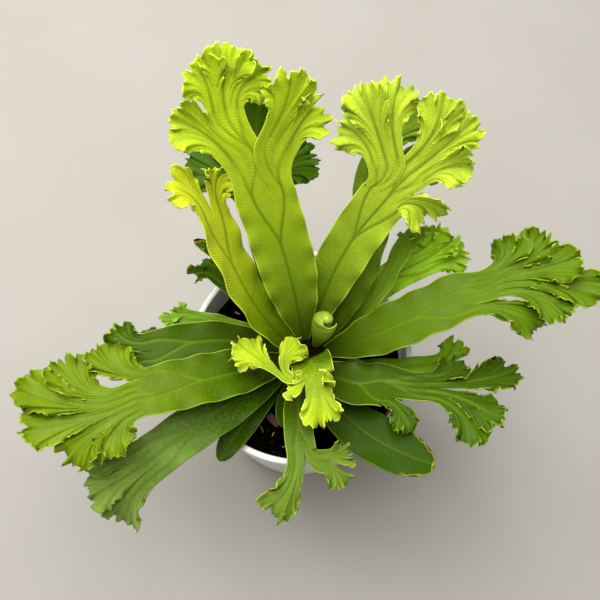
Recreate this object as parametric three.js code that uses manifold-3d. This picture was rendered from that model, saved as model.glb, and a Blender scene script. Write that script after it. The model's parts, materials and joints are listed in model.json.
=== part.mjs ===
// A crested bird's nest fern growing in a plain white ceramic pot.
// Millimetres, +Z up. The origin is the centre of the pot's flat base, and +Y is the fern's rear.
import * as THREE from 'three';
import { mergeVertices } from 'three/addons/utils/BufferGeometryUtils.js';
import Module from 'manifold-3d';

const wasm = await Module();
wasm.setup();

// ---------- Driving dimensions: pot ----------
const potHeight = 115;
const rimRadius = 65;
const baseRadius = 53;
const wallThickness = 3.6;
const floorThickness = 5;
const baseBevel = 1.5;
const rimRound = 1.2;
const potSegments = 64;
const drainHoleRadius = 4.5;
const drainHoleCircle = 18;
const drainHoleCount = 3;
const drainHoleSegments = 20;

// ---------- Driving dimensions: potting mix and crown ----------
const fitGap = 0.3; // clearance kept between pieces that touch
const cutMargin = 1; // how far a cutter reaches past the faces that it cuts
const mixEdgeHeight = 96;
const mixCentreHeight = 104;
const mixLumps = { height: 0.8, acrossX: 5, acrossY: 6 }; // gentle waves over the mound
const mixRings = 7;
const crownX = 4; // the crown grew a little off the pot's centre
const crownRadius = 15.6;
const crownSocketRadius = 16;
const crownTop = 117;
const crownDepth = 12; // how far the crown is sunk in the mix
const crownSegments = 20;
const crownFootBevel = { inward: 2, up: 3 };
const crownDomeRows = 5;

// ---------- Driving dimensions: fronds ----------
const leafThickness = 1.2;
const stalkHalfWidth = { least: 1.5, most: 3, share: 0.12 }; // share of the blade's width
const fullWidthAt = 0.62; // share of the blade's length
const bladeCup = 0.12; // how far the margins rise, as a share of half the width
const lobeCup = 0.1;
const branchWidth = { ofParent: 0.8, ofLobe: 0.55 }; // half of a branch, at most
const lobeNeck = 0.45; // share of a lobe's width at its neck
const lobeFullAt = 0.85; // shares of a lobe's length: where it is full width,
const lobeRoundsFrom = 0.3; // where its end starts to round,
const ownShapeAt = 0.9; // and where it has left its parent's shape behind
const tipFlatness = 0.93; // 1 would be a half circle
const bluntTip = { from: 0.6, narrowing: 0.8, roundness: 0.5 }; // of a blade that doesn't fork
const bladeRowSpacing = 12;
const fewestBladeRows = 5;
const bladeColumns = 4;
const lobeRowSpacing = 9;
const fewestLobeRows = 3;
const lobeColumns = 3;
const columnsPerFork = 2;

// Fronds leave the crown in four rings: the youngest are innermost, highest and steepest.
const rings = {
  inner: { radius: 6, height: 118 },
  middle: { radius: 9.5, height: 115.5 },
  outer: { radius: 12.5, height: 113 },
  lowest: { radius: 15.5, height: 110 },
};

// One branch of a forked frond tip. Turn is positive to the left of its parent's direction and
// bend is positive upwards. The share is how much of the parent's width the branch takes.
const fork = (turn, length, bend = 0, forks = [], share = 1, lobe = undefined) => (
  { turn, length, bend, forks, share, lobe }
);

// heading: compass direction at the crown, 0 along +X and 90 along +Y. rise: slope at the crown.
// bend and turn: change of slope and heading along the blade. lobe: width of one tip lobe.
const fronds = [
  // The three tall young fronds that stand up at the rear.
  { name: 'frond_tall', age: 'young', ring: 'inner', heading: 106, rise: 66, bend: -8, turn: 7,
    length: 106, width: 30, lobe: 19, forks: [
      fork(-43, 30, 5, [fork(-42, 26, -20, [], 1, 17), fork(28, 34)], 2),
      fork(13, 23, -5, [
        fork(-17, 23, -5, [fork(-90, 29, -5), fork(-26, 30, 10), fork(26, 26)]),
        fork(46, 38, -25, [], 1, 18),
      ], 3),
    ] },
  { name: 'frond_upright_left', age: 'young', ring: 'inner', heading: 170, rise: 58, bend: -6,
    turn: -48, length: 101, width: 26, lobe: 20, forks: [fork(-50, 25, 10), fork(64, 30, -20)] },
  { name: 'frond_upright_right', age: 'young', ring: 'middle', heading: 74, rise: 60, bend: -6,
    turn: -24, length: 104, width: 26, lobe: 17, forks: [
      fork(-120, 32, -30, [], 2),
      fork(-14, 20, -5, [fork(-54, 29, -15), fork(6, 38, -5), fork(48, 41, 6)], 3),
      fork(50, 20, 0, [fork(-34, 40, -9), fork(5, 38, 6), fork(58, 30, -14)], 3),
    ] },
  // The newest open frond, which folds over towards the front.
  { name: 'frond_newest', age: 'newest', ring: 'inner', heading: 284, rise: 82, bend: -60,
    turn: -8, length: 40, width: 22, lobe: 19, forks: [
      fork(-142, 20, 18, [fork(-98, 24, 12, [], 1, 12), fork(14, 33, -6, [], 1, 17)], 1, 7),
      fork(-104, 20, -4, [], 1, 7),
      fork(0, 27, -62, [], 5, 17),
      fork(74, 13, 34, [], 1, 7),
    ] },
  // The spreading fronds of middle age.
  { name: 'frond_right', age: 'mature', ring: 'middle', heading: 2, rise: 38, bend: -18, turn: 18,
    length: 85, width: 29, lobe: 17, forks: [
      fork(-65, 49, -28, [], 2, 13),
      fork(0, 20, -5, [
        fork(-73, 44, -22), fork(-44, 56, -12), fork(-17, 47, -4), fork(30, 40, 3),
        fork(66, 30, 10),
      ], 5),
    ] },
  { name: 'frond_left', age: 'mature', ring: 'middle', heading: 207, rise: 34, bend: -22, turn: -9,
    length: 84, width: 28, lobe: 19, forks: [
      fork(-85, 43, -5),
      fork(13, 17, -5, [
        fork(-97, 48, -5), fork(-64, 59, -5), fork(-27, 54, -12), fork(21, 42, -18),
        fork(77, 29, -22),
      ], 4),
    ] },
  { name: 'frond_front_right', age: 'mature', ring: 'middle', heading: 306, rise: 30, bend: -18,
    turn: 52, length: 43, width: 28, lobe: 17, forks: [
      fork(-90, 31, -25, [], 1, 12),
      fork(6, 24, -5, [
        fork(-70, 44, -22), fork(-34, 46, -15), fork(20, 56, -5), fork(54, 28, 16, [], 1, 14),
      ], 3),
    ] },
  { name: 'frond_rear', age: 'old', ring: 'middle', heading: 119, rise: 46, bend: -8, turn: -11,
    length: 81, width: 20, lobe: 18, forks: [
      fork(-97, 50, -25), fork(-18, 60, 8), fork(67, 49, -42),
    ] },
  { name: 'frond_rear_right', age: 'old', ring: 'outer', heading: 44, rise: 50, bend: -8,
    turn: 31, length: 99, width: 25, lobe: 18, forks: [fork(-100, 46, -15), fork(-38, 52)] },
  // The older fronds under them.
  { name: 'frond_front_left', age: 'old', ring: 'outer', heading: 220, rise: 26, bend: -30,
    turn: -3, length: 94, width: 25, lobe: 17, forks: [
      fork(-64, 35, -20), fork(-11, 44, -30), fork(32, 46, -60),
    ] },
  { name: 'frond_front_blunt', age: 'old', ring: 'outer', heading: 290, rise: 15, bend: -16,
    turn: 59, length: 89, width: 28, lobe: 17, forks: [] },
  { name: 'frond_far_left', age: 'mature', ring: 'outer', heading: 170, rise: 24, bend: -18,
    turn: 30, length: 78, width: 22, lobe: 14, forks: [fork(-69, 27), fork(26, 16, -12)] },
  { name: 'frond_front', age: 'mature', ring: 'outer', heading: 257, rise: 27, bend: -24, turn: 23,
    length: 51, width: 16, lobe: 13, forks: [
      fork(-51, 41, -25, [], 3, 15),
      fork(86, 15, -5, [fork(-95, 17, -25), fork(26, 15, -5)], 2),
    ] },
  { name: 'frond_far_right', age: 'mature', ring: 'lowest', heading: 47, rise: 32, bend: -10,
    turn: -26, length: 70, width: 18, lobe: 13, forks: [
      fork(-29, 28, -15), fork(17, 27), fork(58, 25, 5),
    ] },
  { name: 'frond_two_finger', age: 'mature', ring: 'lowest', heading: 25, rise: 45, bend: -6,
    turn: 30, length: 72, width: 11, lobe: 9, forks: [fork(-49, 19, -5), fork(9, 13)] },
  { name: 'frond_short_rear', age: 'old', ring: 'outer', heading: 80, rise: 40, bend: -10,
    turn: -8, length: 50, width: 16, lobe: 12, forks: [] },
  // The lowest, oldest and smallest fronds.
  { name: 'frond_low_front_left', age: 'old', ring: 'lowest', heading: 227, rise: 14, bend: -14,
    turn: 14, length: 65, width: 15, lobe: 12, forks: [] },
  { name: 'frond_low_front', age: 'old', ring: 'lowest', heading: 247, rise: 20, bend: -22,
    turn: 25, length: 32, width: 14, lobe: 12, forks: [] },
  { name: 'frond_low_rear_left', age: 'old', ring: 'lowest', heading: 141, rise: 30, bend: -10,
    turn: 2, length: 58, width: 11, lobe: 8, forks: [fork(-14, 9), fork(75, 14, -10)] },
  { name: 'frond_low_pointed', age: 'old', ring: 'lowest', heading: 120, rise: 24, bend: -12,
    turn: 38, length: 81, width: 10, lobe: 8, forks: [] },
  { name: 'frond_low_left', age: 'mature', ring: 'lowest', heading: 158, rise: 22, bend: -10,
    turn: 18, length: 56, width: 8, lobe: 10, forks: [fork(-25, 11, 5), fork(36, 17, -10)] },
  { name: 'frond_low_far_left', age: 'old', ring: 'lowest', heading: 184, rise: 15, bend: -10,
    turn: -14, length: 70, width: 11, lobe: 11, forks: [fork(-18, 11), fork(69, 10, -8)] },
  { name: 'frond_low_right', age: 'old', ring: 'lowest', heading: 344, rise: 12, bend: -6,
    turn: 24, length: 60, width: 10, lobe: 13, forks: [fork(58, 19)] },
];

// The unfurling frond at the centre, still rolled up lengthways.
const crozier = { ring: 'inner', heading: 37, rise: 74, bend: 4, turn: 16, length: 31 };
const crozierRadii = [1.6, 2.8, 4.2, 5.4, 6.2, 6.3, 5.2];
const crozierSides = 12;

// ---------- Driving dimensions: bark chips lying on the mix ----------
const barkSizes = [[9, 5, 2.4], [7, 4, 2], [6, 4.5, 2.2], [8, 4, 2], [6, 3.5, 2], [7, 5, 2.4]];
const barkFirstHeading = 248;
const barkHeadingStep = 67;
const barkCircles = [40, 50, 34];

// ---------- Materials ----------
const finish = (color, roughness) => new THREE.MeshStandardMaterial({ color, roughness, metalness: 0 });
const leafColours = { newest: 0xb4d433, young: 0x8fb52c, mature: 0x5f8f24, old: 0x2f5c1a };
const potFinish = finish(0xf2f1ec, 0.35);
const mixFinish = finish(0x1c1511, 0.95);
const crownFinish = finish(0x3a2117, 0.9);
const barkFinish = finish(0x7a5534, 0.85);

const radians = (degrees) => (degrees * Math.PI) / 180;
const ease = (x) => {
  const t = Math.min(1, Math.max(0, x));
  return t * t * (3 - 2 * t);
};

// ---------- Closed meshes and their booleans ----------
function toManifold(geometry) {
  const bare = geometry.clone();
  bare.deleteAttribute('normal');
  bare.deleteAttribute('uv');
  const merged = mergeVertices(bare, 1e-4);
  return new wasm.Manifold(new wasm.Mesh({
    numProp: 3,
    vertProperties: new Float32Array(merged.attributes.position.array),
    triVerts: new Uint32Array(merged.index.array),
  }));
}

function toGeometry(manifold) {
  const mesh = manifold.getMesh();
  const geometry = new THREE.BufferGeometry();
  geometry.setAttribute('position', new THREE.BufferAttribute(mesh.vertProperties, 3));
  geometry.setIndex(new THREE.BufferAttribute(mesh.triVerts, 1));
  return geometry;
}

function piece(name, geometry, material) {
  const mesh = new THREE.Mesh(geometry, material);
  mesh.name = name;
  return mesh;
}

// A solid of revolution about +Z from a profile of [radius, height] pairs.
function turned(profile, segments) {
  const points = profile.map(([radius, height]) => new THREE.Vector2(radius, height));
  return new THREE.LatheGeometry(points, segments).rotateX(Math.PI / 2);
}

// An upright cylinder between two heights, used as a cutter.
function cutter(radius, low, high, x, y, segments) {
  const shape = new THREE.CylinderGeometry(radius, radius, high - low, segments).rotateX(Math.PI / 2);
  return toManifold(shape.translate(x, y, (low + high) / 2));
}

// ---------- Pot ----------
const taper = (rimRadius - baseRadius) / potHeight;
const outerRadiusAt = (height) => baseRadius + taper * height;
const innerRadiusAt = (height) => outerRadiusAt(height) - wallThickness;

function makePot() {
  const rimLow = potHeight - rimRound;
  const profile = [
    [0, 0],
    [baseRadius - baseBevel, 0],
    [outerRadiusAt(baseBevel), baseBevel],
    [outerRadiusAt(rimLow), rimLow],
    [rimRadius - rimRound, potHeight],
    [innerRadiusAt(potHeight) + rimRound, potHeight],
    [innerRadiusAt(rimLow), rimLow],
    [innerRadiusAt(floorThickness), floorThickness],
    [0, floorThickness],
  ];
  let pot = toManifold(turned(profile, potSegments));
  for (let hole = 0; hole < drainHoleCount; hole += 1) {
    const angle = (2 * Math.PI * hole) / drainHoleCount;
    const x = drainHoleCircle * Math.cos(angle);
    const y = drainHoleCircle * Math.sin(angle);
    const bore = cutter(drainHoleRadius, -cutMargin, floorThickness + cutMargin, x, y,
      drainHoleSegments);
    pot = pot.subtract(bore);
  }
  return piece('pot', toGeometry(pot), potFinish);
}

// ---------- Potting mix: a mound that fills the pot and holds the crown ----------
const mixFloor = floorThickness + fitGap;
const mixRadiusAt = (height) => innerRadiusAt(height) - fitGap;
const mixHeightAt = (radius) => {
  const outward = radius / mixRadiusAt(mixEdgeHeight);
  return mixCentreHeight - (mixCentreHeight - mixEdgeHeight) * outward * outward;
};

function makePottingMix() {
  const profile = [[0, mixFloor], [mixRadiusAt(mixFloor), mixFloor]];
  for (let ring = mixRings; ring >= 0; ring -= 1) {
    const radius = (mixRadiusAt(mixEdgeHeight) * ring) / mixRings;
    profile.push([radius, mixHeightAt(radius)]);
  }
  const mound = turned(profile, potSegments / 2);
  const spots = mound.attributes.position;
  for (let i = 0; i < spots.count; i += 1) {
    const x = spots.getX(i);
    const y = spots.getY(i);
    const z = spots.getZ(i);
    const onTop = z > mixEdgeHeight + fitGap; // leaves out the rim of the mound and its foot
    const wave = Math.cos(x / mixLumps.acrossX) * Math.cos(y / mixLumps.acrossY);
    if (onTop) spots.setZ(i, z + mixLumps.height * wave);
  }
  const socket = cutter(crownSocketRadius + fitGap, mixCentreHeight - crownDepth - fitGap,
    crownTop, crownX, 0, crownSegments);
  return piece('potting_mix', toGeometry(toManifold(mound).subtract(socket)), mixFinish);
}

// ---------- Crown: the scaly rootstock that every frond grows from ----------
function makeCrown() {
  const foot = mixCentreHeight - crownDepth;
  const shoulder = mixCentreHeight + mixLumps.height;
  const profile = [
    [0, foot],
    [crownRadius - crownFootBevel.inward, foot],
    [crownRadius, foot + crownFootBevel.up],
  ];
  for (let row = 0; row < crownDomeRows; row += 1) {
    const angle = (Math.PI / 2) * (row / crownDomeRows);
    const height = shoulder + (crownTop - shoulder) * Math.sin(angle);
    profile.push([crownRadius * Math.cos(angle), height]);
  }
  profile.push([0, crownTop]);
  return piece('crown', turned(profile, crownSegments).translate(crownX, 0, 0), crownFinish);
}

// ---------- Fronds ----------
// A station holds a place on a branch's midrib and the directions along, beside and above it.
function firstStation(frond) {
  const heading = radians(frond.heading);
  const rise = radians(frond.rise);
  const ring = rings[frond.ring];
  const out = new THREE.Vector3(Math.cos(heading), Math.sin(heading), 0);
  const along = out.clone().multiplyScalar(Math.cos(rise)).setZ(Math.sin(rise));
  const beside = new THREE.Vector3(-Math.sin(heading), Math.cos(heading), 0);
  return {
    place: new THREE.Vector3(crownX, 0, ring.height).addScaledVector(out, ring.radius),
    along,
    beside,
    above: new THREE.Vector3().crossVectors(along, beside),
  };
}

// Shares of a total that sum to one, growing towards the end or fading from the start.
function sharesOf(rows, weigh) {
  const weights = Array.from({ length: rows }, (_, row) => weigh((row + 0.5) / rows));
  const total = weights.reduce((sum, weight) => sum + weight, 0);
  return weights.map((weight) => weight / total);
}

// Walks a branch from a station and returns the stations of its rows.
function walk(start, branch, rows, turnWeigh, bendWeigh) {
  const turns = sharesOf(rows, turnWeigh);
  const bends = sharesOf(rows, bendWeigh);
  const stations = [start];
  for (let row = 0; row < rows; row += 1) {
    const last = stations[row];
    const next = {
      place: last.place.clone(),
      along: last.along.clone(),
      beside: last.beside.clone(),
      above: last.above.clone(),
    };
    const turn = radians(branch.turn) * turns[row];
    next.along.applyAxisAngle(last.above, turn);
    next.beside.applyAxisAngle(last.above, turn);
    const bend = -radians(branch.bend) * bends[row];
    next.along.applyAxisAngle(next.beside, bend);
    next.above.applyAxisAngle(next.beside, bend);
    next.place.addScaledVector(next.along, branch.length / rows);
    stations.push(next);
  }
  return stations;
}

// Places across a row, from the right margin at -1 to the left margin at 1. The last row of a
// forked branch has its places at the borders between the forks.
const evenRow = (columns) => Array.from({ length: columns + 1 }, (_, i) => (2 * i) / columns - 1);

function forkedRow(forks) {
  const total = forks.reduce((sum, branch) => sum + branch.share, 0);
  const row = [-1];
  let border = -1;
  for (const branch of forks) {
    const width = (2 * branch.share) / total;
    for (let column = 1; column <= columnsPerFork; column += 1) {
      row.push(border + (width * column) / columnsPerFork);
    }
    border += width;
  }
  return row;
}

// Joins two rows of points with triangles, whatever their counts.
function joinRows(leaf, first, second) {
  let a = 0;
  let b = 0;
  while (a < first.ids.length - 1 || b < second.ids.length - 1) {
    const stepA = a + 1 < first.ids.length ? first.across[a + 1] : Infinity;
    const stepB = b + 1 < second.ids.length ? second.across[b + 1] : Infinity;
    if (stepA <= stepB) {
      leaf.faces.push([first.ids[a], first.ids[a + 1], second.ids[b]]);
      a += 1;
    } else {
      leaf.faces.push([first.ids[a], second.ids[b + 1], second.ids[b]]);
      b += 1;
    }
  }
}

function addRow(leaf, across, placeOf) {
  const ids = across.map((x) => {
    leaf.points.push(placeOf(x));
    return leaf.points.length - 1;
  });
  return { ids, across };
}

function offsetFrom(station, along, beside, above) {
  return station.place.clone()
    .addScaledVector(station.along, along)
    .addScaledVector(station.beside, beside)
    .addScaledVector(station.above, above);
}

// The blade, from its narrow stalk to its first fork, or to its rounded tip if it has none.
function growBlade(leaf, frond) {
  const rows = Math.max(fewestBladeRows, Math.round(frond.length / bladeRowSpacing));
  const stations = walk(firstStation(frond), frond, rows, () => 1, (t) => t);
  const full = frond.width / 2;
  const { least, most, share } = stalkHalfWidth;
  const stalk = Math.min(most, Math.max(least, share * frond.width));
  let last;
  let half;
  stations.forEach((station, row) => {
    const t = row / rows;
    half = stalk + (full - stalk) * Math.sin((Math.PI / 2) * Math.min(1, t / fullWidthAt));
    let roundness = 0;
    if (frond.forks.length === 0) {
      const closing = ease((t - bluntTip.from) / (1 - bluntTip.from));
      half *= Math.sqrt(1 - bluntTip.narrowing * closing ** 2);
      roundness = bluntTip.roundness * half * closing;
    }
    const across = row === rows && frond.forks.length > 0
      ? forkedRow(frond.forks) : evenRow(bladeColumns);
    const next = addRow(leaf, across, (x) => (
      offsetFrom(station, -roundness * x * x, half * x, bladeCup * half * x * x)));
    if (last) joinRows(leaf, last, next);
    last = next;
  });
  growForks(leaf, frond.forks, stations[rows], last, half, frond.lobe);
}

// The branches of a fork. Each starts on its own stretch of the parent's last row, then narrows
// or widens to its own width; one that doesn't fork again ends in a rounded lobe.
function growForks(leaf, forks, end, border, parentHalf, parentLobe) {
  forks.forEach((branch, order) => {
    const from = order * columnsPerFork;
    const lobe = branch.lobe ?? parentLobe;
    const isLobe = branch.forks.length === 0;
    const half = isLobe
      ? lobe / 2 : Math.min(branchWidth.ofParent * parentHalf, branchWidth.ofLobe * lobe);
    const rows = Math.max(fewestLobeRows, Math.round(branch.length / lobeRowSpacing));
    const stations = walk(end, branch, rows, (t) => 1 - t, () => 1);
    let last = {
      ids: border.ids.slice(from, from + columnsPerFork + 1),
      across: evenRow(columnsPerFork),
    };
    const starts = last.ids.map((id) => leaf.points[id].clone().sub(end.place));
    const startOffset = (x) => {
      const spot = ((x + 1) / 2) * columnsPerFork;
      const low = Math.min(columnsPerFork - 1, Math.floor(spot));
      const start = starts[low].clone().lerp(starts[low + 1], spot - low);
      return [start.dot(end.along), start.dot(end.beside), start.dot(end.above)];
    };
    for (let row = 1; row <= rows; row += 1) {
      const t = row / rows;
      const own = ease(t / ownShapeAt);
      const reach = isLobe ? half * (lobeNeck + (1 - lobeNeck) * ease(t / lobeFullAt)) : half;
      const roundness = isLobe ? half * ease((t - lobeRoundsFrom) / (1 - lobeRoundsFrom)) : 0;
      const across = !isLobe && row === rows
        ? forkedRow(branch.forks) : evenRow(isLobe ? lobeColumns : bladeColumns);
      const next = addRow(leaf, across, (x) => {
        const [along, beside, above] = startOffset(x);
        const tip = -roundness * (1 - Math.sqrt(1 - tipFlatness * x * x));
        return offsetFrom(stations[row], along * (1 - own) + tip * own,
          beside * (1 - own) + reach * x * own, above * (1 - own) + lobeCup * reach * x * x * own);
      });
      joinRows(leaf, last, next);
      last = next;
    }
    if (!isLobe) growForks(leaf, branch.forks, stations[rows], last, half, lobe);
  });
}

// Gives a leaf's single surface its thickness, half above and half below, and closes its margin.
function thicken({ points, faces }) {
  const normals = points.map(() => new THREE.Vector3());
  for (const [a, b, c] of faces) {
    const edge = points[b].clone().sub(points[a]);
    const normal = edge.cross(points[c].clone().sub(points[a]));
    for (const id of [a, b, c]) normals[id].add(normal);
  }
  const positions = [];
  for (const side of [0.5, -0.5]) {
    points.forEach((point, id) => {
      const lift = normals[id].clone().normalize().multiplyScalar(side * leafThickness);
      positions.push(...point.clone().add(lift));
    });
  }
  const under = points.length;
  const index = [];
  const edges = new Set(faces.flatMap(([a, b, c]) => [`${a},${b}`, `${b},${c}`, `${c},${a}`]));
  for (const [a, b, c] of faces) {
    index.push(a, b, c, under + c, under + b, under + a);
    for (const [from, to] of [[a, b], [b, c], [c, a]]) {
      const isMargin = !edges.has(`${to},${from}`);
      if (isMargin) index.push(from, under + from, under + to, from, under + to, to);
    }
  }
  const geometry = new THREE.BufferGeometry();
  geometry.setAttribute('position', new THREE.Float32BufferAttribute(positions, 3));
  geometry.setIndex(index);
  return geometry;
}

function makeFrond(frond) {
  const leaf = { points: [], faces: [] };
  growBlade(leaf, frond);
  return piece(frond.name, thicken(leaf), finish(leafColours[frond.age], 0.45));
}

// A tube along the rolled frond's midrib, swelling in the middle and closed at both ends.
function makeCrozier() {
  const rows = crozierRadii.length - 1;
  const stations = walk(firstStation(crozier), crozier, rows, () => 1, () => 1);
  const positions = [];
  stations.forEach((station, row) => {
    for (let side = 0; side < crozierSides; side += 1) {
      const angle = (2 * Math.PI * side) / crozierSides;
      const radius = crozierRadii[row];
      positions.push(...offsetFrom(station, 0, radius * Math.cos(angle), radius * Math.sin(angle)));
    }
  });
  const foot = positions.length / 3;
  positions.push(...stations[0].place, ...stations[rows].place);
  const index = [];
  for (let side = 0; side < crozierSides; side += 1) {
    const beside = (side + 1) % crozierSides;
    for (let row = 0; row < rows; row += 1) {
      const low = row * crozierSides;
      const high = low + crozierSides;
      index.push(low + side, low + beside, high + side, low + beside, high + beside, high + side);
    }
    const top = rows * crozierSides;
    index.push(foot, beside, side, foot + 1, top + side, top + beside);
  }
  const geometry = new THREE.BufferGeometry();
  geometry.setAttribute('position', new THREE.Float32BufferAttribute(positions, 3));
  geometry.setIndex(index);
  return piece('frond_unfurling', geometry, finish(leafColours.young, 0.45));
}

// ---------- Bark chips ----------
function makeBarkChip([length, width, thickness], order) {
  const heading = radians(barkFirstHeading + barkHeadingStep * order);
  const circle = barkCircles[order % barkCircles.length];
  const chip = new THREE.IcosahedronGeometry(0.5, 1).scale(length, width, thickness);
  chip.rotateZ(2 * heading);
  const height = mixHeightAt(circle) + mixLumps.height + fitGap + thickness / 2;
  chip.translate(circle * Math.cos(heading), circle * Math.sin(heading), height);
  return piece(`bark_chip_${order + 1}`, chip, barkFinish);
}

// ---------- The whole plant ----------
const pottedFern = new THREE.Group();
pottedFern.add(makePot(), makePottingMix(), makeCrown(), ...fronds.map(makeFrond));
pottedFern.add(makeCrozier(), ...barkSizes.map(makeBarkChip));

export default pottedFern;
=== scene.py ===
"""A crested bird's nest fern in a plain white ceramic pot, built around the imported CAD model.

Shapes are worked out in millimetres, +Z up, and turned to metres when a mesh is made.
"""
import json
import math
from collections import namedtuple

import bpy
import numpy as np
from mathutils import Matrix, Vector

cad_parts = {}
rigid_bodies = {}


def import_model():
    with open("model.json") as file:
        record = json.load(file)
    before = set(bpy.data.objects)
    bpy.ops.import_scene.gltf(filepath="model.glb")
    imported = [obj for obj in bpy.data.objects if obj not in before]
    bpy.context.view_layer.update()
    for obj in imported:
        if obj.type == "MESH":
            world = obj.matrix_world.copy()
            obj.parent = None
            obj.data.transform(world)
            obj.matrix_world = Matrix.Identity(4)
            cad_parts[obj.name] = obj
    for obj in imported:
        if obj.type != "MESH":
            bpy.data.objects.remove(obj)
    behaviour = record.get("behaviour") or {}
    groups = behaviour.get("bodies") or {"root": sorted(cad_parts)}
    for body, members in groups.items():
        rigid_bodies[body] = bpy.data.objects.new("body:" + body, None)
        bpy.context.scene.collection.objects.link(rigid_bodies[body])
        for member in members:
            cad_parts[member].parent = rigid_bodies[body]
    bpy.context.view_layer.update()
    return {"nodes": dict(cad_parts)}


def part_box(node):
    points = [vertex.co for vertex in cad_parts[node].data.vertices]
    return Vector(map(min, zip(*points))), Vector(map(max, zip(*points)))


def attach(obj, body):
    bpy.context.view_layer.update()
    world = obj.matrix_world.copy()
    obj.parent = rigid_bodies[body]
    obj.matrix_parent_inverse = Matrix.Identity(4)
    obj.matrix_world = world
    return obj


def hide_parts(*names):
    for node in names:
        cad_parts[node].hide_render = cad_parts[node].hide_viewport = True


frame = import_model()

FROND_SEED, BARK_SEED, CROWN_SEED, MIX_SEED = 100, 40, 21, 7
MM = 0.001
UP = np.array([0.0, 0.0, 1.0])

# ---------- Pot, potting mix and crown ----------
POT_HIGH = np.array(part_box("pot")[1]) / MM
POT_HEIGHT = POT_HIGH[2]
RIM_RADIUS = POT_HIGH[0]
BASE_RADIUS = 53.0
WALL = 3.6
POT_FLOOR = 5.0
RIM_ROUND, BASE_ROUND, FLOOR_ROUND = 1.2, 2.0, 3.0
# The inner side of the foot ring: distances inward from the base's edge, and heights.
FOOT_RING = [(7.0, 1.0), (6.4, 0.4), (5.6, 0.0)]
DRAIN_RADIUS, DRAIN_CIRCLE, DRAIN_COUNT = 4.5, 18.0, 3
POT_SEGMENTS, WALL_ROWS, DRAIN_SEGMENTS = 256, 24, 48
FIT_GAP = 0.3
MIX_EDGE, MIX_CENTRE = 96.0, 104.0
MIX_SEGMENTS, MIX_ROWS = 220, 70
LUMP_SIZES = (9.0, 5.0, 3.1, 1.9)
CRUMB_COUNT = 620
FIBRE_EVERY = 14  # one crumb in so many is a bit of fibre
CHIP_STEPS = 14
CROWN_X = 4.0
CROWN_RADIUS = 15.6
CROWN_TOP = 117.0
SCALE_COUNT, SCALE_ROWS = 150, 7

# ---------- Fronds ----------
LEAF_THICKNESS = 0.75
MARGIN_THICKNESS = 0.45
STALK_LEAST, STALK_MOST, STALK_SHARE = 1.5, 3.0, 0.12
FULL_WIDTH_AT = 0.62
BLADE_CUP, LOBE_CUP = 0.12, 0.1
BLADE_STEP, LOBE_STEP = 1.4, 1.1
PLAIN_COLUMNS = 40  # across a blade that doesn't fork
BLADE_WAVE, WAVE_LENGTHS = 1.3, (17, 24)
RIB_WIDTH = 0.85
VEIN_SPACING = 1.45
VEIN_SLANT = 0.5  # how far a side vein runs forward for each millimetre outward
RIPENING = 0.2  # how much of the crest's colour a branch gains between two forks
LOBE_NECK = 0.7  # share of a lobe's width at its neck
LOBE_FLARE = 0.28
DOUBLED_AT = (0.25, 0.5)  # shares of a lobe's length where its columns are doubled
# Along a lobe's margin run deep cuts, teeth, pleats and a fine crisping. Two more waves make
# all of them uneven.
CUT_LENGTHS, CUT_DEPTH = (6.0, 9.5), 4.8
TOOTH_LENGTHS, TOOTH_DEPTH = (2.1, 3.0), 2.6
PLEAT_LENGTHS, PLEAT_HEIGHT = (8.0, 12.0), 2.3
CRISP_LENGTHS, CRISP_HEIGHT = (3.6, 5.4), 1.4
UNEVEN_LONG, UNEVEN_SHORT = 11.3, 5.3
# The radius and height at which each ring of fronds leaves the crown.
RINGS = {"inner": (6, 118), "middle": (9.5, 115.5), "outer": (12.5, 113), "lowest": (15.5, 110)}

Fork = namedtuple("Fork", "turn length bend forks share lobe")
# A frond leaves its ring towards its heading, counted from +X to +Y, at an angle of rise, and
# then bends upwards and turns to the left along its length. Angles are in degrees.
Frond = namedtuple("Frond", "age ring heading rise bend turn length width lobe forks")
Station = namedtuple("Station", "place along beside above")
# Where a leaf has got to: its end station, last row of points, half width, the width of its
# lobes, the distance along it from the crown, and how far its colour has turned to its crest's.
Grown = namedtuple("Grown", "end ids half lobe reached ripeness")
# What varies from lobe to lobe: the curl of its tip, the phases and lengths of the waves along
# its margin, the roll of each side, and how keeled, frilled and ruffled it is.
Lobe = namedtuple("Lobe", "curl phase cut_length tooth_length pleat_length crisp_length"
                          " roll keel frill ruffle")


def fork(turn, length, bend=0, forks=(), share=1, lobe=None):
    """A branch of a frond's tip: turn is positive to the left and bend upwards, in degrees."""
    return Fork(turn, length, bend, forks, share, lobe)


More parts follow.
